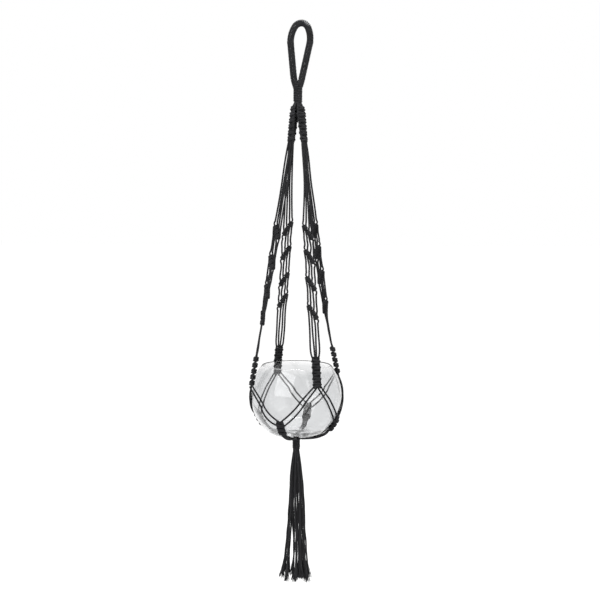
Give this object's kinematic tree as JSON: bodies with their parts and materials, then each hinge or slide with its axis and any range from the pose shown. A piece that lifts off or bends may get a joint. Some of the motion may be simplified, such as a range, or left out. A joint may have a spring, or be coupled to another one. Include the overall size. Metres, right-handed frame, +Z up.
{
  "type": "hanging macrame planter",
  "caption": "Black cotton macrame hanger with a wrapped loop, knotted arms, a cord sling that cradles a clear glass bowl, and a frayed tassel below.",
  "frame": {"origin": "the point inside the top of the hanging loop where a hook bears", "axes": "+Z up along the planter, against its hang; the loop lies in the XZ plane, and -Y is the side seen from the front"},
  "size_m": [0.1706, 0.1706, 0.996],
  "materials": {
    "knotting_cord": "matte twisted cotton cord",
    "wrapping_cord": "matte twisted cotton cord, close wound",
    "tassel_cord": "matte twisted cotton cord, frayed ends",
    "clear_glass": "clear polished"
  },
  "bodies": {
    "loop": {"loop_core_cords": "knotting_cord", "loop_wrapping": "wrapping_cord"},
    "neck": {"neck_core_cords": "knotting_cord", "neck_wrapping": "wrapping_cord"},
    "hanger": {"back_hitch_rows": "knotting_cord", "back_lower_cords": "knotting_cord", "back_lower_knots": "knotting_cord", "back_mid_cords": "knotting_cord", "back_right_base_cords": "knotting_cord", "back_right_junction_knots": "knotting_cord", "back_sling_cords": "knotting_cord", "back_top_knots": "knotting_cord", "back_upper_cords": "knotting_cord", "base_crossing": "knotting_cord", "front_hitch_rows": "knotting_cord", "front_left_base_cords": "knotting_cord", "front_left_junction_knots": "knotting_cord", "front_lower_cords": "knotting_cord", "front_lower_knots": "knotting_cord", "front_mid_cords": "knotting_cord", "front_sling_cords": "knotting_cord", "front_top_knots": "knotting_cord", "front_upper_cords": "knotting_cord", "left_back_base_cords": "knotting_cord", "left_back_junction_knots": "knotting_cord", "left_hitch_rows": "knotting_cord", "left_lower_cords": "knotting_cord", "left_lower_knots": "knotting_cord", "left_mid_cords": "knotting_cord", "left_sling_cords": "knotting_cord", "left_top_knots": "knotting_cord", "left_upper_cords": "knotting_cord", "right_front_base_cords": "knotting_cord", "right_front_junction_knots": "knotting_cord", "right_hitch_rows": "knotting_cord", "right_lower_cords": "knotting_cord", "right_lower_knots": "knotting_cord", "right_mid_cords": "knotting_cord", "right_sling_cords": "knotting_cord", "right_top_knots": "knotting_cord", "right_upper_cords": "knotting_cord"},
    "bowl": {"glass_bowl": "clear_glass"},
    "gather": {"gathered_cords": "knotting_cord", "gathering_wrapping": "wrapping_cord"},
    "tassel": {"tassel_strand_01": "tassel_cord", "tassel_strand_02": "tassel_cord", "tassel_strand_03": "tassel_cord", "tassel_strand_04": "tassel_cord", "tassel_strand_05": "tassel_cord", "tassel_strand_06": "tassel_cord", "tassel_strand_07": "tassel_cord", "tassel_strand_08": "tassel_cord", "tassel_strand_09": "tassel_cord", "tassel_strand_10": "tassel_cord", "tassel_strand_11": "tassel_cord", "tassel_strand_12": "tassel_cord", "tassel_strand_13": "tassel_cord", "tassel_strand_14": "tassel_cord", "tassel_strand_15": "tassel_cord", "tassel_strand_16": "tassel_cord"}
  },
  "joints": [
    {"name": "neck_tilt", "type": "hinge", "parent": "loop", "child": "neck", "pos_m": [0, 0, -0.1015], "axis": [1, 0, 0], "range_deg": [-20, 20]},
    {"name": "hanger_sway", "type": "hinge", "parent": "neck", "child": "hanger", "pos_m": [0, 0, -0.133], "axis": [0, 1, 0], "range_deg": [-15, 15]},
    {"name": "bowl_lift", "type": "slide", "parent": "hanger", "child": "bowl", "axis": [0, 0, 1], "range_m": [0, 0.008]},
    {"name": "gather_tilt", "type": "hinge", "parent": "hanger", "child": "gather", "pos_m": [0, 0, -0.737], "axis": [1, 0, 0], "range_deg": [-20, 20]},
    {"name": "tassel_swing", "type": "hinge", "parent": "gather", "child": "tassel", "pos_m": [0, 0, -0.752], "axis": [0, 1, 0], "range_deg": [-25, 25]}
  ]
}
